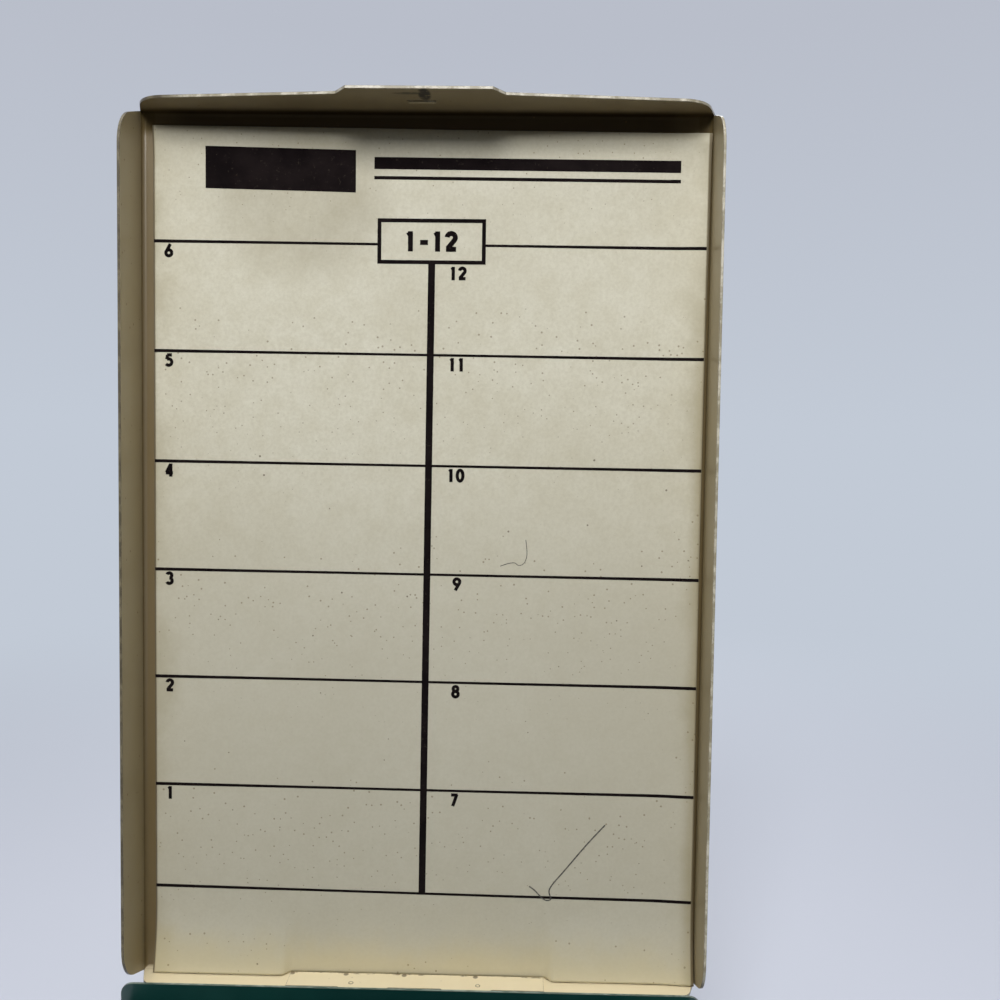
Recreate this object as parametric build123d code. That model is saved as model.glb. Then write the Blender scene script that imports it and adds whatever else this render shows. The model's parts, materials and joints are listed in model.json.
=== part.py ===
from build123d import *
import os
from math import cos, radians, sin

# A folded sheet-steel file for small transparencies: a base, a hinged lid shown open,
# and a row of tilting trays that each hold two side-by-side compartments.
# +X is right, -Y is the front, +Z is up. The origin is the centre of the flat underside.

# ---- driving sizes, in millimetres ----
SHEET = 0.5              # steel sheet of every folded piece
BEND_IN = 0.8            # inner radius of a fold
SLIDE = 50.8             # a mounted transparency is this wide and this tall
TRAYS = 6
FRONT_ROOM = 2.7         # free length in front of the first tray

LID_WIDTH = 112.0
LID_LENGTH = 172.0
SIDE_DEPTH = 11.7        # lid walls, from the outer face of the panel to the rim
FRONT_DEPTH = 11.7       # at the foot of the latch tab
FRONT_END_DEPTH = 8.7    # the front rim runs up towards its ends
TAB_DEPTH = 14.7
TAB_WIDTH = 26.7
TAB_SLOPE = 2.3
REAR_DEPTH = 6.5
FLAP_TAPER = 0.35        # inward lean of a flap's end, per millimetre of depth
SIDE_CORNER = 7.5        # round rim corners of the flaps
FRONT_CORNER = 6.5
REAR_CORNER = 2.4
OPEN_ANGLE = 91.5        # lid opening at rest

SIDE_GAP = 0.35          # lid wall to base wall
FRONT_GAP = 0.8
HEAD_ROOM = 1.5          # plate tops to the closed lid
RIM_ABOVE_AXIS = 1.2     # base rim over the hinge axis

LEAF_WIDTH = 50.8
LEAF_SHEET = 0.6
PIN_RADIUS = 0.9
PIN_CLEARANCE = 0.05
KNUCKLES = 5
KNUCKLE_GAP = 0.3
HINGE_DROP = 2.4         # hinge axis below the rim of the lid's rear flap
BASE_LEAF_HEIGHT = 12.0
LEAF_SETBACK = 0.6       # the upper leaf's edge stays clear of the lid's fold

ROD_RADIUS = 1.2
ROD_CLEARANCE = 0.05
ROD_HEAD_RADIUS = 1.7
ROD_HEAD_HEIGHT = 0.8
ROD_HEAD_ROUND = 0.55
LUG_RADIUS = 2.2
LUG_FLOOR_GAP = 0.3
ROD_LEDGE_GAP = 0.35
FOOT_GAP = 0.2           # tray lip to floor
TRAY_GAP = 0.7           # ledge to the plate in front
TRAY_SIDE_GAP = 0.4
REAR_SLACK = 6.5         # rear plate to the base's rear wall: the room to tilt
PLATE_OVER_SLIDE = 0.2
PLATE_CORNER = 2.6
ROLL_RADIUS = 5.0        # the plate's ends curl back
ROLL_WIDTH = 2.6

FIN_FOOT = 8.0
FIN_SETBACK = 5.4        # fin's front edge behind the ledge's lip
FIN_TOP_REACH = 9.0
FIN_HEIGHT = 40.0
FIN_STEP = 6.0           # upright part of the fin's front edge
FIN_CORNER = 3.0

CARD_SHEET = 0.25
CARD_WIDTH = 107.4
CARD_SHIFT = 0.8         # the card sits off centre, against the right wall
CARD_EDGE = 0.05         # clear of the folds
CARD_TOP_GAP = 1.8       # bare panel above the card, from the front fold

CATCH_LENGTH = 5.2       # pressed catch on the base, and the crescent on the lid
CATCH_HEIGHT = 2.0
CATCH_PROUD = 0.45
CATCH_DROP = 10.2        # below the closed lid's top
CRESCENT_HEIGHT = 0.9
CRESCENT_PROUD = 0.3
CRESCENT_DROP = 8.0

# ---- sizes that follow ----
BEND_OUT = BEND_IN + SHEET
FOLD_STRIP = BEND_OUT + SHEET
BASE_WIDTH = LID_WIDTH - 2 * (SHEET + SIDE_GAP)
BASE_LENGTH = LID_LENGTH - SHEET - FRONT_GAP
REAR_Y = BASE_LENGTH / 2
FRONT_Y = -BASE_LENGTH / 2
LID_MID_Y = REAR_Y - LID_LENGTH / 2

ROD_Z = SHEET + LUG_FLOOR_GAP + LUG_RADIUS
LEDGE_TOP = ROD_Z + ROD_RADIUS + ROD_CLEARANCE + ROD_LEDGE_GAP + SHEET
PLATE_TOP = LEDGE_TOP + SLIDE + PLATE_OVER_SLIDE
LID_TOP = PLATE_TOP + HEAD_ROOM + SHEET
BORE_RADIUS = PIN_RADIUS + PIN_CLEARANCE
KNUCKLE_RADIUS = BORE_RADIUS + LEAF_SHEET
AXIS_Z = LID_TOP - REAR_DEPTH - HINGE_DROP
AXIS_Y = REAR_Y - SHEET + BORE_RADIUS
RIM_Z = AXIS_Z + RIM_ABOVE_AXIS
TRAY_HALF = BASE_WIDTH / 2 - SHEET - TRAY_SIDE_GAP
FLAT_HALF = TRAY_HALF - ROLL_WIDTH
PITCH = (BASE_LENGTH - 2 * SHEET - REAR_SLACK - FRONT_ROOM) / TRAYS
LEDGE_DEPTH = PITCH - SHEET - TRAY_GAP
FIN_BOTTOM_REACH = LEDGE_DEPTH - FIN_SETBACK
KNUCKLE_STEP = LEAF_WIDTH / KNUCKLES


def polygon(points):
    return make_face(Polyline(*points, close=True))


def rounded(face, corners):
    """Fillet the vertices of a face that lie at the given (x, y) corners."""
    for corner, radius in corners:
        vertex = face.vertices().sort_by_distance(Vector(corner[0], corner[1], 0))[0]
        face = fillet(vertex, radius)
    return face


def along_x(face, start, end):
    """Extrude a face drawn in (Y, Z) from X = start to X = end."""
    return extrude(Plane.YZ.offset(start) * face, end - start)


def along_y(face, start, end):
    """Extrude a face drawn in (X, Z) from Y = start to Y = end."""
    return extrude(Plane.XZ.offset(-end) * face, end - start)


def along_z(face, start, end):
    """Extrude a face drawn in (X, Y) from Z = start to Z = end."""
    return extrude(Plane.XY.offset(start) * face, end - start)


def block(x, y, z):
    """Box from three (low, high) pairs."""
    size = [high - low for low, high in (x, y, z)]
    middle = [(high + low) / 2 for low, high in (x, y, z)]
    return Pos(*middle) * Box(*size)


# ---- lid, drawn closed and then swung open ----
def flap_outline(half, depth, corner):
    """A wall's outline in (edge, up), with leaning ends and round rim corners."""
    lean = FLAP_TAPER * depth
    rim = [(-half + lean, -depth), (half - lean, -depth)]
    face = polygon([(-half, 0), rim[0], rim[1], (half, 0)])
    return rounded(face, [(point, corner) for point in rim])


def front_outline(half):
    """The front wall's outline, with its sloping rim and the latch tab."""
    end = half - FLAP_TAPER * FRONT_END_DEPTH
    tab = TAB_WIDTH / 2
    right = [(end, -FRONT_END_DEPTH), (tab + TAB_SLOPE, -FRONT_DEPTH), (tab, -TAB_DEPTH)]
    left = [(-x, z) for x, z in reversed(right)]
    face = polygon([(-half, 0), *reversed(left), *reversed(right), (half, 0)])
    return rounded(face, [((end, -FRONT_END_DEPTH), FRONT_CORNER),
                          ((-end, -FRONT_END_DEPTH), FRONT_CORNER)])


def folded_wall(half, depth, outline):
    """One wall with its fold, along the Y = 0 edge of a panel that lies at Y > 0, Z < 0.

    Its ends are mitred, so that two folds close on each other at a corner of the panel.
    """
    section = polygon([(0, -depth), (0, 0), (FOLD_STRIP, 0), (FOLD_STRIP, -SHEET),
                       (SHEET, -SHEET), (SHEET, -depth)])
    section = rounded(section, [((0, 0), BEND_OUT), ((SHEET, -SHEET), BEND_IN)])
    mitre = polygon([(-half, 0), (half, 0),
                     (half - FOLD_STRIP, FOLD_STRIP), (-half + FOLD_STRIP, FOLD_STRIP)])
    wall = along_x(section, -half, half)
    wall = wall & along_y(outline, 0, FOLD_STRIP)
    return wall & along_z(mitre, -depth, 0)


def swing(piece):
    """Swing a piece of the closed lid to its open place."""
    hinge = Axis((0, AXIS_Y, AXIS_Z), (1, 0, 0))
    return piece.rotate(hinge, -OPEN_ANGLE)


def lid_shell():
    half_w = LID_WIDTH / 2
    half_l = LID_LENGTH / 2
    side = folded_wall(half_l, SIDE_DEPTH, flap_outline(half_l, SIDE_DEPTH, SIDE_CORNER))
    front = folded_wall(half_w, TAB_DEPTH, front_outline(half_w))
    rear = folded_wall(half_w, REAR_DEPTH, flap_outline(half_w, REAR_DEPTH, REAR_CORNER))
    panel = block((-half_w + FOLD_STRIP, half_w - FOLD_STRIP),
                  (-half_l + FOLD_STRIP, half_l - FOLD_STRIP), (-SHEET, 0))
    shell = panel
    shell += Pos(0, -half_l, 0) * front
    shell += Pos(0, half_l, 0) * Rot(0, 0, 180) * rear
    shell += Pos(-half_w, 0, 0) * Rot(0, 0, -90) * side
    shell += Pos(half_w, 0, 0) * Rot(0, 0, 90) * side
    crescent = Pos(0, -CRESCENT_DROP) * SlotOverall(CATCH_LENGTH, CRESCENT_HEIGHT)
    inner = -half_l + SHEET
    shell += along_y(crescent, inner, inner + CRESCENT_PROUD)
    return swing(Pos(0, LID_MID_Y, LID_TOP) * shell)


def index_card():
    """A printed card flat on the inside of the lid panel."""
    low = LID_MID_Y - LID_LENGTH / 2 + BEND_OUT + CARD_TOP_GAP
    high = LID_MID_Y + LID_LENGTH / 2 - BEND_OUT - CARD_EDGE
    top = LID_TOP - SHEET
    x = (CARD_SHIFT - CARD_WIDTH / 2, CARD_SHIFT + CARD_WIDTH / 2)
    return swing(block(x, (low, high), (top - CARD_SHEET, top)))


# ---- base ----
def base_box(inset, bottom, radius):
    half_w = BASE_WIDTH / 2 - inset
    half_l = BASE_LENGTH / 2 - inset
    solid = block((-half_w, half_w), (-half_l, half_l), (bottom, RIM_Z))
    solid = fillet(solid.edges().filter_by(Axis.Z), radius)
    return fillet(solid.faces().sort_by(Axis.Z)[0].edges(), radius)


def tray_back(index):
    """Y of the rear face of a tray's plate, counted from 1 at the front."""
    return REAR_Y - SHEET - REAR_SLACK - (TRAYS - index) * PITCH


def rod_y(index):
    return tray_back(index) - LUG_RADIUS


def base_shell():
    shell = base_box(0, 0, BEND_OUT) - base_box(SHEET, SHEET, BEND_IN)
    notch = LEAF_WIDTH / 2 + KNUCKLE_GAP
    shell -= block((-notch, notch), (REAR_Y - 2 * SHEET, REAR_Y + SHEET),
                   (AXIS_Z - KNUCKLE_RADIUS - KNUCKLE_GAP, LID_TOP))
    for index in range(1, TRAYS + 1):
        hole = Pos(rod_y(index), ROD_Z) * Circle(ROD_RADIUS + ROD_CLEARANCE)
        shell -= along_x(hole, -BASE_WIDTH, BASE_WIDTH)
    catch = Pos(0, LID_TOP - CATCH_DROP) * SlotOverall(CATCH_LENGTH, CATCH_HEIGHT)
    return shell + along_y(catch, FRONT_Y - CATCH_PROUD, FRONT_Y + SHEET / 2)


def pivot_rod(index):
    """A cross rod with a round head outside each side wall."""
    centre = Pos(rod_y(index), ROD_Z)
    half = BASE_WIDTH / 2
    rod = along_x(centre * Circle(ROD_RADIUS), -half, half)
    for side in (-1, 1):
        start, end = sorted((side * half, side * (half + ROD_HEAD_HEIGHT)))
        head = along_x(centre * Circle(ROD_HEAD_RADIUS), start, end)
        rim = head.faces().sort_by(Axis.X)[-1 if side > 0 else 0].edges()
        rod += fillet(rim, ROD_HEAD_ROUND)
    return rod


# ---- hinge ----
def knuckle_span(index):
    start = -LEAF_WIDTH / 2 + index * KNUCKLE_STEP
    return start + KNUCKLE_GAP / 2, start + KNUCKLE_STEP - KNUCKLE_GAP / 2


def hinge_leaf(knuckles, up):
    """A leaf inside the rear walls, rolled round the pin at every second knuckle."""
    plate = AXIS_Y - KNUCKLE_RADIUS, AXIS_Y - BORE_RADIUS
    near = AXIS_Z + up * (KNUCKLE_RADIUS + KNUCKLE_GAP)
    far = LID_TOP - BEND_OUT - LEAF_SETBACK if up > 0 else AXIS_Z - BASE_LEAF_HEIGHT
    half = LEAF_WIDTH / 2
    leaf = block((-half, half), plate, sorted((near, far)))
    for index in knuckles:
        start, end = knuckle_span(index)
        leaf += block((start, end), plate, sorted((AXIS_Z, near)))
        ring = Pos(AXIS_Y, AXIS_Z) * (Circle(KNUCKLE_RADIUS) - Circle(BORE_RADIUS))
        leaf += along_x(ring, start, end)
    return leaf


def hinge_pin():
    half = LEAF_WIDTH / 2
    return along_x(Pos(AXIS_Y, AXIS_Z) * Circle(PIN_RADIUS), -half, half)


# ---- trays ----
def tray_plate(front):
    """Back plate whose ends curl to the rear, with round top corners."""
    back = front + SHEET
    centre = front + ROLL_RADIUS
    turn = ROLL_WIDTH / ROLL_RADIUS
    angle = [asin_degrees(turn) * part for part in (0.5, 1.0)]

    def rim(radius, side):
        return [(side * (FLAT_HALF + radius * sin(radians(a))), centre - radius * cos(radians(a)))
                for a in angle]

    outer = {side: rim(ROLL_RADIUS, side) for side in (-1, 1)}
    inner = {side: rim(ROLL_RADIUS - SHEET, side) for side in (-1, 1)}
    outline = [
        Line((-FLAT_HALF, front), (FLAT_HALF, front)),
        ThreePointArc((FLAT_HALF, front), *outer[1]),
        Line(outer[1][1], inner[1][1]),
        ThreePointArc(inner[1][1], inner[1][0], (FLAT_HALF, back)),
        Line((FLAT_HALF, back), (-FLAT_HALF, back)),
        ThreePointArc((-FLAT_HALF, back), *inner[-1]),
        Line(inner[-1][1], outer[-1][1]),
        ThreePointArc(outer[-1][1], outer[-1][0], (-FLAT_HALF, front)),
    ]
    plate = along_z(make_face(outline), LEDGE_TOP + BEND_IN, PLATE_TOP)
    edge = RectangleRounded(2 * TRAY_HALF, 2 * (PLATE_TOP - LEDGE_TOP), PLATE_CORNER)
    return plate & along_y(Pos(0, LEDGE_TOP) * edge, front - SHEET, centre)


def asin_degrees(value):
    """Angle of a right triangle by its opposite side over its long side."""
    return Vector(1, 0, 0).get_angle(Vector((1 - value ** 2) ** 0.5, value, 0))


def tray(index):
    """Back plate, ledge, front lip and two pivot lugs, folded from one sheet."""
    back = tray_back(index)
    front = back - SHEET
    lip = front - LEDGE_DEPTH
    foot = SHEET + FOOT_GAP
    under = LEDGE_TOP - SHEET
    join = LEDGE_TOP + 2 * BEND_IN
    section = polygon([(back, join), (back, under), (lip + SHEET, under), (lip + SHEET, foot),
                       (lip, foot), (lip, LEDGE_TOP), (front, LEDGE_TOP), (front, join)])
    section = rounded(section, [((back, under), BEND_OUT), ((lip, LEDGE_TOP), BEND_OUT),
                                ((lip + SHEET, under), BEND_IN), ((front, LEDGE_TOP), BEND_IN)])
    folded = tray_plate(front) + along_x(section, -FLAT_HALF, FLAT_HALF)
    centre = Pos(rod_y(index), ROD_Z)
    web = block((0, SHEET), (rod_y(index) - LUG_RADIUS, rod_y(index) + LUG_RADIUS),
                (ROD_Z, under + SHEET / 2))
    web -= block((0, SHEET), (back - BEND_OUT, back + SHEET), (under, LEDGE_TOP))
    lug = web + along_x(centre * Circle(LUG_RADIUS), 0, SHEET)
    lug -= along_x(centre * Circle(ROD_RADIUS + ROD_CLEARANCE), -SHEET, 2 * SHEET)
    for start in (-FLAT_HALF, FLAT_HALF - SHEET):
        folded += Pos(start, 0, 0) * lug
    return folded


def tray_fin(index):
    """Upright fin between the two compartments, with a foot on the plate."""
    front = tray_back(index) - SHEET
    half = SHEET / 2
    plan = polygon([(-half, front), (-half, front - FIN_BOTTOM_REACH),
                    (half, front - FIN_BOTTOM_REACH), (half, front - SHEET),
                    (FIN_FOOT, front - SHEET), (FIN_FOOT, front)])
    plan = rounded(plan, [((-half, front), BEND_OUT), ((half, front - SHEET), BEND_IN)])
    low = LEDGE_TOP + BEND_IN + TRAY_GAP / 2
    high = low + FIN_HEIGHT
    side = polygon([(front, low), (front - FIN_BOTTOM_REACH, low),
                    (front - FIN_BOTTOM_REACH, low + FIN_STEP),
                    (front - FIN_TOP_REACH, high), (front, high)])
    side = rounded(side, [((front - FIN_BOTTOM_REACH, low + FIN_STEP), FIN_CORNER),
                          ((front - FIN_TOP_REACH, high), FIN_CORNER)])
    return along_z(plan, low, high) & along_x(side, -half, FIN_FOOT)


def write(name, solid):
    export_step(solid, f"parts/{name}.step")


os.makedirs("parts", exist_ok=True)
write("lid_shell", lid_shell())
write("index_card", index_card())
write("lid_hinge_leaf", swing(hinge_leaf((1, 3), up=1)))
write("base_shell", base_shell())
write("base_hinge_leaf", hinge_leaf((0, 2, 4), up=-1))
write("hinge_pin", hinge_pin())
for number in range(1, TRAYS + 1):
    write(f"tray_{number}", tray(number))
    write(f"tray_fin_{number}", tray_fin(number))
    write(f"pivot_rod_{number}", pivot_rod(number))
print("lid top when closed", LID_TOP, "hinge axis", AXIS_Y, AXIS_Z, "rear plate", tray_back(TRAYS))
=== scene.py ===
import json
import math

import bmesh
import bpy
from mathutils import Matrix, Vector, noise


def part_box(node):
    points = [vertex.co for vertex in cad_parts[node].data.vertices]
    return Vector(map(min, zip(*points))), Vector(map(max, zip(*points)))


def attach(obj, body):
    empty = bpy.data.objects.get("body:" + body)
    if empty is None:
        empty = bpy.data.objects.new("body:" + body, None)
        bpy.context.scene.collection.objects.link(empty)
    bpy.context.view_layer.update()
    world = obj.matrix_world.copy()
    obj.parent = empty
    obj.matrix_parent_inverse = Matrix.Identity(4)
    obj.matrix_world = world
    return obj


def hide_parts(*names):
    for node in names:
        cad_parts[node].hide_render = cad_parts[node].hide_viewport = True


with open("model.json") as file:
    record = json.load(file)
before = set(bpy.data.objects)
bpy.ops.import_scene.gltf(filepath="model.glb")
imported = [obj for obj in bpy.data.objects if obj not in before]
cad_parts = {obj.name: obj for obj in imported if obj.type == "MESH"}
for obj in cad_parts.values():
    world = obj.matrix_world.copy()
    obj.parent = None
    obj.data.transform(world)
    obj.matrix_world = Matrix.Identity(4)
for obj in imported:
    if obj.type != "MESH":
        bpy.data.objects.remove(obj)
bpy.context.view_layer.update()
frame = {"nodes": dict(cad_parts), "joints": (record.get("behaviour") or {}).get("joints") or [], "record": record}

MM = 0.001
NODES = frame["nodes"]
JOINTS = {joint["name"]: joint for joint in frame["joints"]}

# ---- the open lid's own frame: x right, u up the panel from the hinge, d out of the panel ----
HINGE = Vector(JOINTS["lid_hinge"]["pos_m"])
OPEN_ANGLE = math.radians(-JOINTS["lid_hinge"]["range_deg"][0])
SWING = Matrix.Translation(HINGE) @ Matrix.Rotation(-OPEN_ANGLE, 4, "X") @ Matrix.Translation(-HINGE)


def shut(node):
    """A lid node's points as they are with the lid closed."""
    return [SWING.inverted() @ v.co for v in NODES[node].data.vertices]


SHELL = shut("lid_shell")
CARD = shut("index_card")
LEAF = shut("lid_hinge_leaf")
LID_TOP = max(v.z for v in SHELL)
LID_REAR = max(v.y for v in SHELL)
LID_LENGTH = LID_REAR - min(v.y for v in SHELL)
LID_HALF = max(v.x for v in SHELL)
SHEET = LID_TOP - max(v.z for v in CARD)
LEAF_HALF = max(v.x for v in LEAF)
LEAF_FACE = LID_REAR - min(v.y for v in LEAF)
TRAY_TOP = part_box("tray_6")[1][2]


def on_lid(x, u, d):
    """World point of a place on the open lid, all in metres."""
    return SWING @ Vector((x, LID_REAR - u, LID_TOP - d))


X_AXIS = Vector((1, 0, 0))
U_AXIS = SWING.to_3x3() @ Vector((0, -1, 0))
D_AXIS = SWING.to_3x3() @ Vector((0, 0, -1))
LID_ZERO = on_lid(0, 0, 0)

# ---- camera ----
EYE = Vector((19.15, -100.14, 161.45)) * MM
EYE_TURN = 1.096
EYE_DIP = 4.405
EYE_ROLL = 0.762
LENS = 36.0


def make_camera():
    data = bpy.data.cameras.new("camera")
    data.sensor_width = 36.0
    data.lens = LENS
    data.clip_start = 0.005
    camera = bpy.data.objects.new("camera", data)
    bpy.context.scene.collection.objects.link(camera)
    camera.matrix_world = (Matrix.Translation(EYE)
                           @ Matrix.Rotation(math.radians(EYE_TURN), 4, "Z")
                           @ Matrix.Rotation(math.radians(90 - EYE_DIP), 4, "X")
                           @ Matrix.Rotation(math.radians(EYE_ROLL), 4, "Z"))
    bpy.context.scene.camera = camera


# ---- node helpers ----
class Shader:
    """A material's node tree, built by short calls. Sockets are passed from call to call."""

    def __init__(self, name):
        self.material = bpy.data.materials.new(name)
        self.material.use_nodes = True
        self.tree = self.material.node_tree
        self.tree.nodes.clear()
        self.output = self.add("OutputMaterial")
        self.bsdf = self.add("BsdfPrincipled")
        self.link(self.bsdf.outputs[0], self.output.inputs[0])
        self.coords = self.add("TexCoord").outputs["Object"]

    def add(self, kind):
        return self.tree.nodes.new("ShaderNode" + kind)

    def link(self, source, socket):
        if isinstance(source, (int, float, tuple)):
            socket.default_value = source
        else:
            self.tree.links.new(source, socket)

    def place(self, stretch):
        where = self.add("Mapping")
        self.link(self.coords, where.inputs["Vector"])
        where.inputs["Scale"].default_value = stretch
        return where.outputs[0]

    def noise(self, scale, detail=2.0, rough=0.5, stretch=(1, 1, 1)):
        node = self.add("TexNoise")
        self.link(self.place(stretch), node.inputs["Vector"])
        node.inputs["Scale"].default_value = scale
        node.inputs["Detail"].default_value = detail
        node.inputs["Roughness"].default_value = rough
        return node.outputs["Fac"]

    def dots(self, pitch, radius, share):
        """Small round dots about pitch apart, of which only a share is kept."""
        node = self.add("TexVoronoi")
        self.link(self.coords, node.inputs["Vector"])
        node.inputs["Scale"].default_value = 1 / pitch
        tone = self.add("SeparateColor")
        self.link(node.outputs["Color"], tone.inputs[0])
        kept = self.math("LESS_THAN", tone.outputs[0], share)
        size = self.math("MULTIPLY", tone.outputs[1], radius / pitch)
        inside = self.math("LESS_THAN", node.outputs["Distance"], size)
        return self.math("MULTIPLY", kept, inside)

    def between(self, value, low, high):
        """0 below low, 1 above high."""
        node = self.add("MapRange")
        node.clamp = True
        node.interpolation_type = "SMOOTHSTEP"
        self.link(value, node.inputs["Value"])
        self.link(low, node.inputs["From Min"])
        self.link(high, node.inputs["From Max"])
        return node.outputs["Result"]

    def below(self, value, low, high):
        """1 below low, 0 above high."""
        return self.math("SUBTRACT", 1.0, self.between(value, low, high))

    def math(self, kind, a, b=0.0, clamp=False):
        node = self.add("Math")
        node.operation = kind
        node.use_clamp = clamp
        self.link(a, node.inputs[0])
        self.link(b, node.inputs[1])
        return node.outputs[0]

    def times(self, *values):
        product = values[0]
        for value in values[1:]:
            product = self.math("MULTIPLY", product, value)
        return product

    def most(self, *values):
        top = values[0]
        for value in values[1:]:
            top = self.math("MAXIMUM", top, value)
        return top

    def mix(self, share, a, b):
        node = self.add("Mix")
        node.data_type = "RGBA"
        self.link(share, node.inputs["Factor"])
        self.link(a, node.inputs["A"])
        self.link(b, node.inputs["B"])
        return node.outputs["Result"]

    def dot(self, vector, axis):
        node = self.add("VectorMath")
        node.operation = "DOT_PRODUCT"
        self.link(vector, node.inputs[0])
        node.inputs[1].default_value = axis
        return node.outputs["Value"]

    def along(self, axis, zero):
        """Distance from a fixed point of the piece along a direction."""
        return self.math("SUBTRACT", self.dot(self.coords, axis), axis.dot(zero))

    def turned(self, axis):
        """1 where the surface faces along a direction of the piece, -1 where it faces the other way."""
        turn = self.add("VectorTransform")
        turn.vector_type = "NORMAL"
        turn.convert_from = "WORLD"
        turn.convert_to = "OBJECT"
        self.link(self.add("NewGeometry").outputs["True Normal"], turn.inputs[0])
        return self.dot(turn.outputs[0], axis)

    def facing(self, axis):
        """1 where the surface faces along a direction, either way; 0 where it is square to it."""
        return self.math("ABSOLUTE", self.turned(axis))

    def edges(self, radius):
        """1 on sharp edges, from how far a rounded normal turns away from the true one."""
        bevel = self.add("Bevel")
        bevel.samples = 6
        bevel.inputs["Radius"].default_value = radius
        node = self.add("VectorMath")
        node.operation = "DOT_PRODUCT"
        self.link(bevel.outputs[0], node.inputs[0])
        self.link(self.add("NewGeometry").outputs["Normal"], node.inputs[1])
        return self.math("SUBTRACT", 1.0, node.outputs["Value"], clamp=True)

    def hollows(self, distance):
        """1 in inside corners of the piece itself, 0 on open faces."""
        node = self.add("AmbientOcclusion")
        node.samples = 8
        node.only_local = True
        node.inputs["Distance"].default_value = distance
        return self.math("SUBTRACT", 1.0, node.outputs["AO"], clamp=True)

    def spot(self, a, b, middle, reach, soft=0.5):
        """1 inside an ellipse in two distances, fading to 0 around its rim."""
        square = 0.0
        for value, centre, half in zip((a, b), middle, reach):
            step = self.math("DIVIDE", self.math("SUBTRACT", value, centre), half)
            square = self.math("ADD", square, self.math("MULTIPLY", step, step))
        return self.math("SUBTRACT", 1.0, self.between(square, 1 - soft, 1 + soft))

    def bump(self, height, strength, distance):
        node = self.add("Bump")
        node.inputs["Strength"].default_value = strength
        node.inputs["Distance"].default_value = distance
        self.link(height, node.inputs["Height"])
        self.link(node.outputs[0], self.bsdf.inputs["Normal"])

    def set(self, **values):
        for name, value in values.items():
            self.link(value, self.bsdf.inputs[name.replace("_", " ")])


def rgb(red, green, blue):
    """Linear colour from 0-255 display values."""
    def linear(value):
        value /= 255.0
        return value / 12.92 if value <= 0.04045 else ((value + 0.055) / 1.055) ** 2.4
    return (linear(red), linear(green), linear(blue), 1.0)


# ---- materials ----
PANEL_ZONE = 1.6 * MM        # nearer the panel than this lies the panel itself
FOLD_ZONE = 3.4 * MM         # strip of the panel beside its side folds that is painted darker as shade
# Where the catch and a thumb have rubbed the front flap: (x, d) of the middle, and half sizes.
CATCH_OUTER = ((-0.1 * MM, 9.0 * MM), (3.4 * MM, 1.5 * MM))
CATCH_INNER = ((-0.1 * MM, 9.45 * MM), (3.3 * MM, 1.35 * MM))
CATCH_REACH = ((-0.1 * MM, 8.1 * MM), (2.9 * MM, 0.9 * MM))
THUMB_RUB = ((0.75 * MM, 11.7 * MM), (1.15 * MM, 3.1 * MM))
DRAG_RUB = ((-2.0 * MM, 12.2 * MM), (3.0 * MM, 0.6 * MM))
LEAF_CHIPS = (-25.0 * MM, -14.2 * MM, -2.5 * MM, 11.8 * MM)


class LidPlace:
    """Sockets that tell where on the lid a point lies; the enamel's layers share them."""

    def __init__(self, s):
        self.x, self.u, self.d = (s.along(axis, LID_ZERO) for axis in (X_AXIS, U_AXIS, D_AXIS))
        self.side = s.math("ABSOLUTE", self.x)
        self.across, self.up = s.facing(X_AXIS), s.facing(U_AXIS)
        self.inward = s.between(s.turned(D_AXIS), 0.02, 0.2)
        ridge, wall = LID_LENGTH - SHEET, LID_HALF - SHEET
        self.inner_front = s.times(self.up, s.between(self.u, ridge - 0.4 * MM, ridge - 0.1 * MM),
                                   s.below(self.u, ridge + 0.1 * MM, ridge + 0.2 * MM))
        self.inner_side = s.times(self.across, s.between(self.side, wall - 0.4 * MM, wall - 0.1 * MM),
                                  s.below(self.side, wall + 0.1 * MM, wall + 0.2 * MM))
        self.front_fold = s.times(s.between(self.u, LID_LENGTH - 5.5 * MM, LID_LENGTH - 3.2 * MM),
                                  s.below(self.d, 1.2 * MM, 4.5 * MM),
                                  s.most(self.inward, self.inner_front))
        self.off_panel = s.between(self.d, PANEL_ZONE, PANEL_ZONE + 0.4 * MM)


def cream_paint(s):
    """Cream enamel with uneven tone, faint streaks, and grime with painted shade darkening its inside corners."""
    tone = s.between(s.noise(26, 4, 0.6), 0.35, 0.65)
    colour = s.mix(tone, rgb(224, 210, 177), rgb(216, 200, 164))
    streaks = s.between(s.noise(120, 4, 0.7, stretch=(1, 0.3, 0.3)), 0.45, 0.7)
    colour = s.mix(s.times(streaks, 0.25), colour, rgb(196, 176, 132))
    # inside corners are darkened to brown: partly grime, partly painted shade where the corners fall in shadow
    hollow = s.hollows(4 * MM)
    grime_and_shade = s.between(s.math("ADD", hollow, s.times(s.noise(160, 5, 0.65), 0.25)), 0.42, 0.85)
    return s.mix(s.times(grime_and_shade, 0.45), colour, rgb(96, 78, 46))


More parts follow.
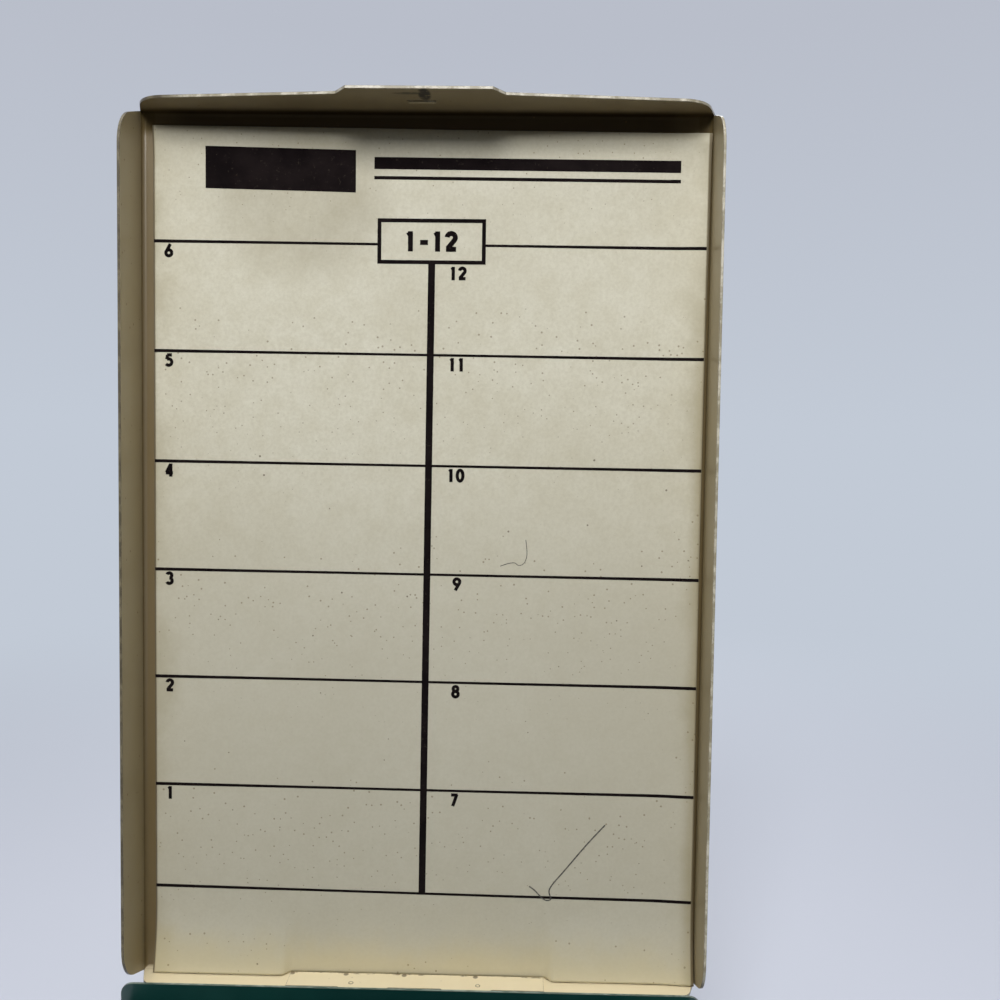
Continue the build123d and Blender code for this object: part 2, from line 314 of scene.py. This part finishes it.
def inner_soil(s, lid, colour):
    """Painted shade on the inner faces of the walls and beside the side folds, a painted shadow under the front
    fold, and small brown dots.
    """
    # painted shade: the front flap's inner face is darkened to brown
    colour = s.mix(s.times(lid.inner_front, 0.72), colour, rgb(104, 86, 54))
    # painted shade: the side walls' inner faces are darkened
    colour = s.mix(s.times(lid.inner_side, 0.66), colour, rgb(124, 108, 72))
    # painted shade on the panel strip between the card and the side walls
    low = s.below(lid.d, 1.2 * MM, 2.6 * MM)
    beside = s.between(lid.side, LID_HALF - FOLD_ZONE, LID_HALF - FOLD_ZONE + 0.6 * MM)
    colour = s.mix(s.times(beside, low, lid.inward, 0.95), colour, rgb(100, 84, 52))
    # painted shadow under the front flap's fold, darkest in the middle and browner towards the ends
    corner = s.between(lid.side, 45 * MM, 55 * MM)
    shade = s.mix(corner, rgb(50, 36, 14), rgb(92, 78, 50))
    colour = s.mix(s.times(lid.front_fold, 0.95), colour, shade)
    return s.mix(s.times(s.dots(1.6 * MM, 0.22 * MM, 0.35), 0.75), colour, rgb(104, 82, 50))


def rear_flap_wear(s, lid, colour):
    """Enamel painted lighter on the rear flap's upward inner face, a painted highlight, and the hinge leaf's
    chipped upper edge.
    """
    rear = s.times(lid.up, s.between(lid.u, 0.3 * MM, 0.4 * MM), s.below(lid.u, 1.4 * MM, 1.6 * MM))
    # painted light: the upward faces inside the rear flap are lightened
    colour = s.mix(s.times(rear, 0.6), colour, rgb(240, 226, 190))
    leaf = s.times(rear, s.below(lid.side, LEAF_HALF, LEAF_HALF + 0.1 * MM))
    wear = s.times(s.below(lid.d, 2.1 * MM, 2.5 * MM), s.between(s.noise(420, 4, 0.7), 0.5, 0.6))
    for place in LEAF_CHIPS:
        wear = s.most(wear, s.spot(lid.x, lid.d, (place, 2.4 * MM), (0.5 * MM, 0.55 * MM)))
    return s.mix(s.times(leaf, wear, 0.8), colour, rgb(92, 74, 44))


def worn_edges(s, lid, colour):
    """Scuffed cut edges, with painted shade on the left wall's edge and a painted highlight on the others, and
    dark chips on folds.
    """
    rim = s.times(s.facing(D_AXIS), lid.off_panel)
    side_ends = s.times(lid.up, s.between(lid.side, LID_HALF - 0.6 * MM, LID_HALF - 0.5 * MM))
    beyond = s.most(s.between(lid.u, LID_LENGTH - 0.55 * MM, LID_LENGTH - 0.45 * MM),
                    s.below(lid.u, 0.45 * MM, 0.55 * MM))
    flap_ends = s.times(lid.across, beyond, lid.off_panel)
    cut = s.between(s.most(rim, side_ends, flap_ends), 0.35, 0.6)
    scuffs = s.between(s.noise(340, 5, 0.7), 0.42, 0.62)
    # cut edges: scuffed wear, painted as shaded on the left wall and as lit highlights elsewhere
    dull = s.mix(scuffs, rgb(78, 70, 50), rgb(116, 107, 82))
    lit_scuffs = s.mix(scuffs, rgb(150, 142, 118), rgb(206, 200, 182))
    colour = s.mix(cut, colour, s.mix(s.between(lid.x, -50 * MM, -42 * MM), dull, lit_scuffs))
    chips = s.between(s.times(s.edges(0.45 * MM), s.noise(520, 4, 0.75)), 0.125, 0.14)
    return s.mix(chips, colour, rgb(70, 58, 38))


def flap_rubs(s, lid, colour):
    """Dark marks on the front flap's inner face: a crescent from the catch and a smear above it."""
    outer, inner, reach = (s.spot(lid.x, lid.d, *place, 0.15)
                           for place in (CATCH_OUTER, CATCH_INNER, CATCH_REACH))
    crescent = s.times(outer, s.math("SUBTRACT", 1.0, inner), reach)
    patchy = s.between(s.noise(620, 4, 0.75), 0.36, 0.46)
    thumb, drag = (s.spot(lid.x, lid.d, *place) for place in (THUMB_RUB, DRAG_RUB))
    smear = s.times(s.most(thumb, s.times(drag, 0.7)), patchy)
    rub = s.times(s.most(s.times(crescent, 0.9), smear), lid.inner_front)
    return s.mix(s.times(rub, 0.95), colour, rgb(22, 16, 10))


def cream_enamel():
    s = Shader("cream_enamel")
    lid = LidPlace(s)
    colour = cream_paint(s)
    for layer in (inner_soil, rear_flap_wear, worn_edges, flap_rubs):
        colour = layer(s, lid, colour)
    gloss = s.math("SUBTRACT", 1.0, lid.front_fold)
    s.set(Base_Color=colour, Roughness=s.between(s.noise(60, 3), -1.0, 2.4),
          Specular_IOR_Level=s.math("MAXIMUM", s.times(gloss, 0.5), 0.04),
          Coat_Weight=s.times(gloss, 0.12), Coat_Roughness=0.25)
    s.bump(s.noise(520, 2, 0.5), 0.10, 0.06 * MM)
    return s.material


def green_enamel():
    s = Shader("green_enamel")
    tone = s.between(s.noise(30, 4, 0.6), 0.35, 0.65)
    colour = s.mix(tone, rgb(18, 60, 55), rgb(13, 50, 47))
    dust = s.times(s.hollows(4 * MM), s.between(s.noise(120, 4, 0.6), 0.35, 0.7))
    colour = s.mix(s.times(dust, 0.25), colour, rgb(70, 82, 70))
    colour = s.mix(s.times(s.dots(3.5 * MM, 0.3 * MM, 0.3), 0.5), colour, rgb(96, 104, 92))
    # tray top edges: worn paint and a painted highlight where the light from above falls on them
    height = s.along(Vector((0, 0, 1)), Vector((0, 0, TRAY_TOP)))
    top = s.times(s.facing(Vector((0, 0, 1))), s.between(height, -0.5 * MM, -0.2 * MM))
    worn_and_lit_top = s.mix(s.between(s.noise(210, 5, 0.75), 0.38, 0.6), rgb(136, 150, 140), rgb(60, 88, 78))
    colour = s.mix(s.between(top, 0.4, 0.8), colour, worn_and_lit_top)
    worn = s.between(s.times(s.edges(0.35 * MM), s.noise(420, 5, 0.75)), 0.115, 0.14)
    colour = s.mix(worn, colour, rgb(134, 140, 128))
    s.set(Base_Color=colour, Roughness=s.between(s.noise(70, 3), -0.9, 2.6),
          Coat_Weight=0.2, Coat_Roughness=0.2)
    s.bump(s.noise(600, 2, 0.5), 0.12, 0.06 * MM)
    return s.material


def steel():
    s = Shader("dull_steel")
    grain = s.noise(900, 3, 0.6, stretch=(0.05, 1, 1))
    colour = s.mix(grain, rgb(168, 164, 154), rgb(120, 116, 108))
    rust = s.between(s.noise(260, 5, 0.7), 0.56, 0.66)
    colour = s.mix(s.times(rust, 0.6), colour, rgb(96, 66, 42))
    s.set(Base_Color=colour, Metallic=0.9, Roughness=s.between(grain, -1.0, 2.2))
    s.bump(grain, 0.2, 0.03 * MM)
    return s.material


CARD_MIDDLE = 1.0 * MM
CARD_HALF = 54.2 * MM
DARK_PATCH = (-24 * MM, 154 * MM)


def card_paper():
    s = Shader("card_paper")
    x, u = (s.along(axis, LID_ZERO) for axis in (X_AXIS, U_AXIS))
    tone = s.between(s.noise(28, 5, 0.6), 0.3, 0.7)
    colour = s.mix(tone, rgb(215, 211, 192), rgb(205, 200, 179))
    grain = s.between(s.noise(240, 5, 0.75), 0.35, 0.7)
    colour = s.mix(s.times(grain, 0.30), colour, rgb(186, 178, 150))
    fibre = s.between(s.noise(1500, 3, 0.7), 0.3, 0.75)
    colour = s.mix(s.times(fibre, 0.22), colour, rgb(160, 150, 122))
    wander = s.times(s.math("SUBTRACT", s.noise(70, 5, 0.65), 0.5), 16 * MM)
    from_side = s.math("ADD", s.math("SUBTRACT", CARD_HALF, s.math(
        "ABSOLUTE", s.math("SUBTRACT", x, CARD_MIDDLE))), wander)
    from_foot = s.math("ADD", u, wander)
    # painted shade: the lower part of the card is darkened, as the light falls off downwards
    lower_shade = s.times(s.below(u, 60 * MM, 118 * MM), 0.6)
    colour = s.mix(lower_shade, colour, rgb(186, 181, 162))
    side = s.below(from_side, -2 * MM, 4 * MM)
    foot = s.below(from_foot, 2 * MM, 12 * MM)
    colour = s.mix(s.times(side, 0.55), colour, rgb(170, 162, 134))
    colour = s.mix(s.times(foot, 0.5), colour, rgb(196, 182, 138))
    # a soft darker patch over the left of the header
    dark_patch = s.times(s.spot(x, u, DARK_PATCH, (15 * MM, 13 * MM), 0.8), s.noise(90, 4, 0.6))
    colour = s.mix(s.times(dark_patch, 0.65), colour, rgb(146, 136, 108))
    # painted shadow of the front flap across the top of the card
    head = s.times(s.between(u, 158 * MM, 168.5 * MM), 0.35)
    colour = s.mix(head, colour, rgb(140, 132, 106))
    # painted shade along the card's right edge, where it stands off the panel beside the wall
    right = s.between(x, CARD_RIGHT - 3.5 * MM, CARD_RIGHT - 0.4 * MM)
    colour = s.mix(s.times(right, s.below(u, 110 * MM, 150 * MM), 0.5), colour, rgb(150, 136, 100))
    # painted shadow lines along the card's left and right edges
    edge_shadows = s.most(s.between(x, CARD_RIGHT - 0.75 * MM, CARD_RIGHT - 0.45 * MM),
                  s.below(x, CARD_LEFT + 0.2 * MM, CARD_LEFT + 0.4 * MM))
    colour = s.mix(s.times(edge_shadows, 0.75), colour, rgb(84, 68, 38))
    colour = s.mix(s.times(s.dots(1.2 * MM, 0.21 * MM, 0.7), 0.6), colour, rgb(116, 98, 66))
    colour = s.mix(s.times(s.dots(4.2 * MM, 0.22 * MM, 0.9), 0.75), colour, rgb(84, 68, 42))
    s.set(Base_Color=colour, Roughness=0.62)
    s.bump(s.noise(900, 4, 0.6), 0.12, 0.05 * MM)
    return s.material


def ink():
    s = Shader("black_ink")
    worn = s.between(s.noise(1300, 3, 0.7), 0.60, 0.72)
    colour = s.mix(s.between(s.noise(160, 4, 0.6), 0.3, 0.7), rgb(16, 11, 12), rgb(28, 22, 22))
    colour = s.mix(s.times(worn, 0.25), colour, rgb(82, 74, 64))
    s.set(Base_Color=colour, Roughness=0.9, Specular_IOR_Level=0.06)
    s.bump(s.noise(1500, 2, 0.5), 0.1, 0.02 * MM)
    return s.material


def graphite():
    s = Shader("pencil_line")
    colour = s.mix(s.between(s.noise(1800, 3, 0.7), 0.42, 0.6), rgb(58, 56, 54), rgb(112, 108, 98))
    s.set(Base_Color=colour, Roughness=0.6)
    s.bump(s.noise(1500, 2, 0.5), 0.1, 0.02 * MM)
    return s.material


# ---- floor and light ----
HORIZON = rgb(194, 202, 214)
SKY = rgb(185, 190, 202)
FLOOR_SEEN = rgb(206, 210, 222)
FLOOR_GREY = rgb(105, 105, 105)
FLOOR_HALF = 6.0
FADE_START, FADE_END = 0.2, 0.75


def background_rays(tree):
    """1 for the rays that see the background: from the camera, a reflection or through glass."""
    path = tree.nodes.new("ShaderNodeLightPath")
    share = path.outputs["Is Camera Ray"]
    for name in ("Is Glossy Ray", "Is Transmission Ray"):
        node = tree.nodes.new("ShaderNodeMath")
        node.operation = "MAXIMUM"
        tree.links.new(share, node.inputs[0])
        tree.links.new(path.outputs[name], node.inputs[1])
        share = node.outputs[0]
    return share


def mix_shaders(tree, share, first, second):
    node = tree.nodes.new("ShaderNodeMixShader")
    tree.links.new(share, node.inputs[0])
    tree.links.new(first.outputs[0], node.inputs[1])
    tree.links.new(second.outputs[0], node.inputs[2])
    return node


def floor_material():
    s = Shader("floor")
    s.set(Base_Color=FLOOR_GREY, Roughness=0.8)
    near = s.add("BsdfDiffuse")
    near.inputs["Color"].default_value = FLOOR_SEEN
    far = s.add("Emission")
    far.inputs["Color"].default_value = HORIZON
    length = s.add("VectorMath")
    length.operation = "LENGTH"
    s.link(s.coords, length.inputs[0])
    fade = s.between(length.outputs["Value"], FADE_START, FADE_END)
    seen = mix_shaders(s.tree, fade, near, far)
    whole = mix_shaders(s.tree, background_rays(s.tree), s.bsdf, seen)
    s.link(whole.outputs[0], s.output.inputs[0])
    return s.material


def make_stage():
    mesh = bpy.data.meshes.new("floor")
    corners = [(-1, -1), (1, -1), (1, 1), (-1, 1)]
    mesh.from_pydata([(x * FLOOR_HALF, y * FLOOR_HALF, 0) for x, y in corners], [], [(0, 1, 2, 3)])
    mesh.materials.append(floor_material())
    floor = bpy.data.objects.new("floor", mesh)
    bpy.context.scene.collection.objects.link(floor)


def make_world():
    world = bpy.data.worlds.new("world")
    bpy.context.scene.world = world
    world.use_nodes = True
    tree = world.node_tree
    tree.nodes.clear()
    direction = tree.nodes.new("ShaderNodeSeparateXYZ")
    tree.links.new(tree.nodes.new("ShaderNodeTexCoord").outputs["Generated"], direction.inputs[0])
    climb = tree.nodes.new("ShaderNodeMapRange")
    climb.inputs["From Max"].default_value = 0.35
    tree.links.new(direction.outputs["Z"], climb.inputs["Value"])
    gradient = tree.nodes.new("ShaderNodeMix")
    gradient.data_type = "RGBA"
    gradient.inputs["A"].default_value = HORIZON
    gradient.inputs["B"].default_value = SKY
    tree.links.new(climb.outputs["Result"], gradient.inputs["Factor"])
    seen = tree.nodes.new("ShaderNodeBackground")
    tree.links.new(gradient.outputs["Result"], seen.inputs["Color"])
    fill = tree.nodes.new("ShaderNodeBackground")
    fill.inputs["Color"].default_value = rgb(240, 246, 255)
    fill.inputs["Strength"].default_value = 0.15
    whole = mix_shaders(tree, background_rays(tree), fill, seen)
    output = tree.nodes.new("ShaderNodeOutputWorld")
    tree.links.new(whole.outputs[0], output.inputs[0])


def make_lamp(name, place, aim, size, watts):
    data = bpy.data.lights.new(name, "AREA")
    data.shape = "SQUARE"
    data.size = size
    data.energy = watts
    lamp = bpy.data.objects.new(name, data)
    bpy.context.scene.collection.objects.link(lamp)
    lamp.location = place
    lamp.rotation_mode = "QUATERNION"
    lamp.rotation_quaternion = (Vector(aim) - Vector(place)).to_track_quat("-Z", "Y")


def make_lights():
    make_lamp("key", (-0.01, -0.34, 0.49), (0, 0.08, 0.22), 0.20, 2.7)
    make_lamp("overhead", (0, 0.02, 0.9), (0, 0.02, 0), 0.6, 2.6)
    make_lamp("back", (0.1, 1.0, 0.55), (0, 0.1, 0.1), 0.6, 5.0)


# ---- the printed card ----
CARD_SHEET = 0.22 * MM
CARD_REST = SHEET + CARD_SHEET + 0.06 * MM    # a flat card's face, from the panel's outer face
CARD_LEFT = -53.2 * MM
CARD_RIGHT = 55.3 * MM
CARD_RIGHT_HOLLOW = 0.5 * MM                  # the right edge is worn slightly hollow
CARD_FOOT = 0.72 * MM
CARD_HIGH = 168.5 * MM
CARD_SKEW = 0.008                             # fall of the top edge to the right
FOOT_BOW = 2.1 * MM                           # the foot stands off the panel, on the rear flap
FOOT_BOW_HEIGHT = 15 * MM
TUCKED = 0.3 * MM                             # behind the hinge leaf
PRINT_PROUD = 0.03 * MM
PRINT_SUNK = 0.03 * MM


def ease(value, low, high):
    share = min(1.0, max(0.0, (value - low) / (high - low)))
    return share * share * (3 - 2 * share)


def card_depth(x, u):
    """Distance of the card's face from the panel's outer face."""
    wave = 0.12 * MM * (1 + noise.noise(Vector((x * 24, u * 15, 3.1))))
    right = ease(x, 47 * MM, CARD_RIGHT)
    right *= 0.42 * MM + 0.16 * MM * noise.noise(Vector((0.7, u * 45, 1.3)))
    top = 0.35 * MM * ease(u, 163 * MM, CARD_HIGH) * (1 + noise.noise(Vector((x * 40, 0.4, 7.7))))
    clear = ease(abs(x), LEAF_HALF + 0.3 * MM, LEAF_HALF + 1.6 * MM)
    bow = TUCKED + (FOOT_BOW - TUCKED) * clear
    foot = bow * max(0.0, 1 - u / FOOT_BOW_HEIGHT) ** 2
    return CARD_REST + wave + right + top + foot


def card_point(x, u, above=0.0):
    return on_lid(x, u, card_depth(x, u) + above)


def add_piece(name, mesh, material, body):
    mesh.materials.clear()
    mesh.materials.append(material)
    piece = bpy.data.objects.new(name, mesh)
    bpy.context.scene.collection.objects.link(piece)
    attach(piece, body)
    return piece


def slab_mesh(name, grids, top, bottom):
    """Closed thin sheets on the card, each over a grid of (x, u) points given as columns."""
    bm = bmesh.new()
    for grid in grids:
        layers = [[[bm.verts.new(card_point(x, u, above)) for x, u in line] for line in grid]
                  for above in (top, bottom)]
        columns, rows = len(grid) - 1, len(grid[0]) - 1
        for flip, layer in enumerate(layers):
            for i in range(columns):
                for j in range(rows):
                    quad = [layer[i][j], layer[i + 1][j], layer[i + 1][j + 1], layer[i][j + 1]]
                    bm.faces.new(reversed(quad) if flip else quad)
        ring = ([(i, 0) for i in range(columns)] + [(columns, j) for j in range(rows)]
                + [(i, rows) for i in range(columns, 0, -1)] + [(0, j) for j in range(rows, 0, -1)])
        face, back = layers
        for (a, b), (c, e) in zip(ring, ring[1:] + ring[:1]):
            bm.faces.new([face[c][e], face[a][b], back[a][b], back[c][e]])
    bmesh.ops.recalc_face_normals(bm, faces=bm.faces)
    mesh = bpy.data.meshes.new(name)
    bm.to_mesh(mesh)
    bm.free()
    return mesh


def make_card():
    columns, rows = 150, 100
    grid = []
    for i in range(columns + 1):
        line = []
        for j in range(rows + 1):
            share = (j / rows) ** 1.3
            left = CARD_LEFT + (CARD_RIGHT - CARD_LEFT) * i / columns
            u = CARD_FOOT + (CARD_HIGH - CARD_SKEW * left - CARD_FOOT) * share
            hollow = CARD_RIGHT_HOLLOW * (i / columns) ** 4 * math.sin(math.pi * share)
            line.append((left - hollow, u))
        grid.append(line)
    mesh = slab_mesh("printed_card", [grid], 0.0, -CARD_SHEET)
    for face in mesh.polygons:
        face.use_smooth = True
    card = add_piece("printed_card", mesh, card_paper(), "lid")
    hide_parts("index_card")


# ---- the card's print: rules, a bar, two boxes and plain numbers ----
ROWS = 6
RULE_FOOT = 17.35 * MM
RULE_STEP = 21.52 * MM
RULE_SLOPE = -0.0050
FOOT_SLOPE = -0.0050       # the lowest rule falls twice as fast
RULE_SHIFT = {5: 0.18 * MM, 1: -0.36 * MM}    # these two stand off the even steps
RULE_HALF = 0.24 * MM
RULE_SWELL = 0.08 * MM     # thicker towards both ends
BAR_X = 0.75 * MM
BAR_LEAN = 0.0055
BAR_HALF = 0.68 * MM
BOX = ((-9.2 * MM, 11.95 * MM), (142.75 * MM, 151.5 * MM))
BOX_LINE = 0.75 * MM
HEADER = ((-42.9 * MM, -13.5 * MM), (157.0 * MM, 165.1 * MM))
HEADER_SLOPE = -0.020
TITLE_X = (-9.9 * MM, 49.5 * MM)
TITLE_RULES = ((162.1 * MM, 1.15 * MM), (159.3 * MM, 0.32 * MM))
NUMBER_DROP = 1.80 * MM
NUMBER_LEFT, NUMBER_RIGHT = -50.1 * MM, 7.15 * MM
TWO_DIGIT_SHIFT = -0.5 * MM
NUMBER_SIZE = 2.6 * MM
TWELVE_DROP = 5.45 * MM


def rule_u(index, x):
    """Height of a rule, counted from 0 at the foot."""
    slope = RULE_SLOPE + (FOOT_SLOPE if index == 0 else 0)
    return RULE_FOOT + RULE_STEP * index + RULE_SHIFT.get(index, 0) + slope * x


def rule_half(x):
    return RULE_HALF + RULE_SWELL * (x / CARD_RIGHT) ** 2


def band(path, half):
    """Grid for a line along (x, u) points; half is its half width, or a function of x."""
    grid = []
    for i, (x, u) in enumerate(path):
        before, after = path[max(0, i - 1)], path[min(len(path) - 1, i + 1)]
        way = Vector((after[0] - before[0], after[1] - before[1])).normalized()
        side = Vector((-way.y, way.x)) * (half(x) if callable(half) else half)
        grid.append([(x - side.x, u - side.y), (x + side.x, u + side.y)])
    return grid


def add_print(name, grid, material):
    mesh = slab_mesh(name, [grid], PRINT_PROUD, -PRINT_SUNK)
    return add_piece(name, mesh, material, "lid")


def line_between(start, end, steps):
    return [(start[0] + (end[0] - start[0]) * i / steps, start[1] + (end[1] - start[1]) * i / steps)
            for i in range(steps + 1)]


def block(x, u, columns, rows):
    return [[(x[0] + (x[1] - x[0]) * i / columns, u[0] + (u[1] - u[0]) * j / rows)
             for j in range(rows + 1)] for i in range(columns + 1)]


def make_rules(material):
    left, right = CARD_LEFT + 0.1 * MM, CARD_RIGHT - 0.6 * MM
    box_left, box_right = BOX[0]
    for index in range(ROWS + 1):
        spans = [("", left, right)]
        if index == ROWS:
            spans = [("_left", left, box_left), ("_right", box_right, right)]
        for tag, start, end in spans:
            ends = [(x, rule_u(index, x)) for x in (start, end)]
            add_print(f"rule_{index + 1}{tag}", band(line_between(*ends, 40), rule_half), material)
    foot, head = rule_u(0, 0), BOX[1][0]
    ends = [(BAR_X + BAR_LEAN * (u - foot), u) for u in (foot, head)]
    add_print("centre_bar", band(line_between(*ends, 60), BAR_HALF), material)


def make_boxes(material):
    (x0, x1), (u0, u1) = BOX
    line = BOX_LINE
    sides = {"left": ((x0, x0 + line), (u0, u1)), "right": ((x1 - line, x1), (u0, u1)),
             "foot": ((x0 + line, x1 - line), (u0, u0 + line)),
             "head": ((x0 + line, x1 - line), (u1 - line, u1))}
    for name, (x, u) in sides.items():
        add_print(f"index_box_{name}", block(x, u, 10, 4), material)
    header = [[(x, u + HEADER_SLOPE * (x - HEADER[0][0])) for x, u in line]
              for line in block(*HEADER, 16, 5)]
    add_print("header_block", header, material)
    for number, (u, half) in enumerate(TITLE_RULES, 1):
        path = [(x, u + RULE_SLOPE * (x - TITLE_X[0])) for x, _ in
                line_between((TITLE_X[0], 0), (TITLE_X[1], 0), 24)]
        add_print(f"title_rule_{number}", band(path, half), material)


def arc(x, y, radius, start, end, steps=20, tall=1.0):
    """Points round a centre from one angle to another, in degrees."""
    angles = [math.radians(start + (end - start) * i / steps) for i in range(steps + 1)]
    return [(x + radius * math.cos(a), y + radius * tall * math.sin(a)) for a in angles]


# Each numeral's strokes run along these centre lines, in shares of its height.
STROKE = 0.125
TOP, FOOT = 1 - STROKE, STROKE
DIGITS = {
    "0": [arc(0.31, 0.5, 0.215, 0, 360, 40, 1.9)],
    "1": [[(0.30, 1.0), (0.30, 0.0)], [(0.30, 0.87), (0.15, 0.79)]],
    "2": [arc(0.30, 0.70, 0.205, 175, -38) + [(0.12, 0.16)], [(0.04, FOOT), (0.55, FOOT)]],
    "3": [arc(0.28, 0.71, 0.19, 160, -85), arc(0.28, 0.305, 0.215, 90, -155)],
    "4": [[(0.40, 0.96), (0.08, 0.32)], [(0.03, 0.29), (0.58, 0.29)], [(0.41, 1.0), (0.41, 0.0)]],
    "5": [[(0.52, TOP), (0.15, TOP)], [(0.19, TOP), (0.13, 0.54)], arc(0.27, 0.335, 0.24, 125, -145)],
    "6": [arc(0.31, 0.315, 0.22, 0, 360, 36), [(0.43, 0.98), (0.13, 0.44)]],
    "7": [[(0.05, TOP), (0.56, TOP)], [(0.50, 0.92), (0.19, 0.0)]],
    "8": [arc(0.30, 0.715, 0.18, 0, 360, 36), arc(0.30, 0.305, 0.21, 0, 360, 36)],
    "9": [arc(0.31, 0.685, 0.22, 0, 360, 36), [(0.19, 0.02), (0.49, 0.56)]],
    "-": [[(0.10, 0.45), (0.50, 0.45)]],
}
DIGIT_ADVANCE = 0.68


def add_number(name, text, x, u, size, material):
    """Plain numerals laid on the card, centred on (x, u)."""
    start = x - size * DIGIT_ADVANCE * len(text) / 2
    grids = []
    for place, digit in enumerate(text):
        left = start + place * DIGIT_ADVANCE * size
        for stroke in DIGITS[digit]:
            path = [(left + px * size, u + (py - 0.5) * size) for px, py in stroke]
            grids.append(band(path, STROKE * size))
    mesh = slab_mesh(name, grids, PRINT_PROUD, -PRINT_SUNK)
    return add_piece(name, mesh, material, "lid")


def make_numbers(material):
    for row in range(1, ROWS + 1):
        add_number(f"number_{row}", str(row), NUMBER_LEFT,
                   rule_u(row, NUMBER_LEFT) - NUMBER_DROP, NUMBER_SIZE, material)
        drop = TWELVE_DROP if row == ROWS else NUMBER_DROP
        text = str(row + ROWS)
        place = NUMBER_RIGHT + TWO_DIGIT_SHIFT * (len(text) - 1)
        add_number(f"number_{text}", text, place, rule_u(row, place) - drop, NUMBER_SIZE, material)
    middle = [(low + high) / 2 for low, high in BOX]
    add_number("index_numbers", f"1-{2 * ROWS}", *middle, 3.9 * MM, material)


TICK = ((37.3, 32.1), (33.6, 28.0), (29.8, 23.2), (26.6, 19.4), (26.2, 18.2), (26.9, 16.6),
        (25.7, 16.4), (24.7, 17.1), (23.4, 18.6), (22.3, 19.3))
SCRAWL = ((20.6, 89.1), (21.0, 86.0), (20.3, 84.2), (19.1, 83.9), (18.6, 84.6), (17.2, 84.4), (15.6, 83.8))


def make_pencil(material):
    for name, points, half in (("pencil_tick", TICK, 0.13), ("pencil_scrawl", SCRAWL, 0.07)):
        path = []
        for start, end in zip(points, points[1:]):
            path += line_between([v * MM for v in start], [v * MM for v in end], 4)[:-1]
        path.append(tuple(v * MM for v in points[-1]))
        for _ in range(3):
            path = [path[0]] + [tuple((a[k] + 2 * b[k] + c[k]) / 4 for k in (0, 1))
                                for a, b, c in zip(path, path[1:], path[2:])] + [path[-1]]
        add_print(name, band(path, half * MM), material)


# ---- spot welds on the hinge leaf ----
WELDS = (-12.7 * MM, 12.4 * MM)
WELD_DEPTH = 5.6 * MM
WELD_RING = 0.42 * MM
WELD_WIRE = 0.09 * MM


def make_welds():
    for number, x in enumerate(WELDS, 1):
        bm = bmesh.new()
        turns, sides = 24, 8
        rings = []
        for i in range(turns):
            a = 2 * math.pi * i / turns
            ring = []
            for j in range(sides):
                b = 2 * math.pi * j / sides
                r = WELD_RING + WELD_WIRE * math.cos(b)
                height = LEAF_FACE + 0.6 * WELD_WIRE * math.sin(b)
                ring.append(bm.verts.new(on_lid(x + r * math.cos(a), height,
                                                WELD_DEPTH + r * math.sin(a))))
            rings.append(ring)
        for i in range(turns):
            for j in range(sides):
                here, there = rings[i], rings[(i + 1) % turns]
                k = (j + 1) % sides
                bm.faces.new([here[j], there[j], there[k], here[k]])
        bmesh.ops.recalc_face_normals(bm, faces=bm.faces)
        mesh = bpy.data.meshes.new(f"weld_ring_{number}")
        bm.to_mesh(mesh)
        bm.free()
        for face in mesh.polygons:
            face.use_smooth = True
        add_piece(f"weld_ring_{number}", mesh, CREAM, "lid")


make_camera()
make_stage()
make_world()
make_lights()
CREAM, GREEN, STEEL = cream_enamel(), green_enamel(), steel()
FINISH = {"cream_enamel": CREAM, "green_enamel": GREEN, "bare_steel": STEEL}
for part in frame["record"]["subparts"]:
    if part["material_slot"] in FINISH:
        NODES[part["node"]].data.materials.clear()
        NODES[part["node"]].data.materials.append(FINISH[part["material_slot"]])
make_card()
INK = ink()
make_rules(INK)
make_boxes(INK)
make_numbers(INK)
make_pencil(graphite())
make_welds()

bpy.context.scene.view_settings.view_transform = "Standard"
